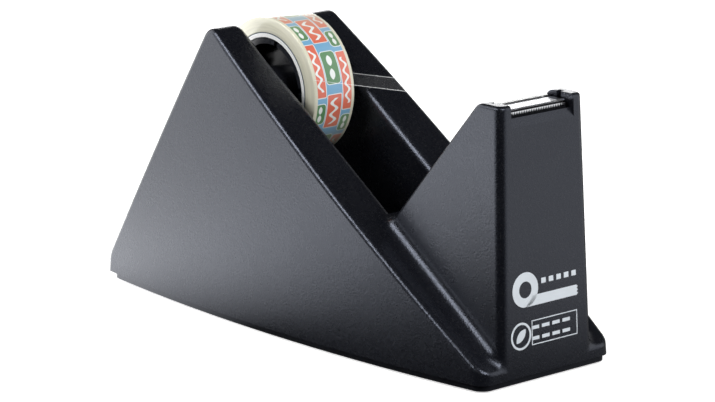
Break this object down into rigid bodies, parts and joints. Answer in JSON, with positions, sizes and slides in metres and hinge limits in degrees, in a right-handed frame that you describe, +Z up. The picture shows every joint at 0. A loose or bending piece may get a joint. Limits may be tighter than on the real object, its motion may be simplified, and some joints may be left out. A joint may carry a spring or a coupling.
{
  "type": "tape dispenser",
  "caption": "Weighted wedge-shaped desk dispenser with a tape roll on a lift-out hub between two cheeks and a serrated cutter on a front tower.",
  "frame": {"origin": "on the desk, under the middle of the dispenser's length and width", "axes": "+X towards the cutter, +Z up, Y across the dispenser"},
  "size_m": [0.1429, 0.052, 0.0744],
  "materials": {
    "housing_plastic": "fine-grained moulded black",
    "base_plastic": "smooth moulded black",
    "mat_rubber": "soft foamed rubber",
    "screw_steel": "zinc plated",
    "ballast_stone": "cast mineral",
    "insert_plastic": "satin moulded black",
    "blade_steel": "bright rolled",
    "strip_film": "clear film",
    "hub_plastic": "satin moulded black",
    "core_plastic": "white tube",
    "liner_print": "printed liner",
    "winding_film": "clear film wound in layers"
  },
  "bodies": {
    "housing_body": {"housing": "housing_plastic", "base_plate": "base_plastic", "anti_slip_mat": "mat_rubber", "base_screws": "screw_steel", "ballast_left": "ballast_stone", "ballast_right": "ballast_stone", "blade_carrier": "insert_plastic", "blade": "blade_steel"},
    "drawn_tape": {"tape_strip": "strip_film"},
    "roll": {"hub": "hub_plastic", "roll_core": "core_plastic", "printed_liner": "liner_print", "tape_winding": "winding_film"}
  },
  "joints": [
    {"name": "roll_lift", "type": "slide", "parent": "housing_body", "child": "drawn_tape", "axis": [0.5664, 0, 0.8241], "range_m": [0, 0.04]},
    {"name": "roll_spin", "type": "hinge", "parent": "drawn_tape", "child": "roll", "pos_m": [-0.02261, 0, 0.05639], "axis": [0, 1, 0], "continuous": true}
  ]
}
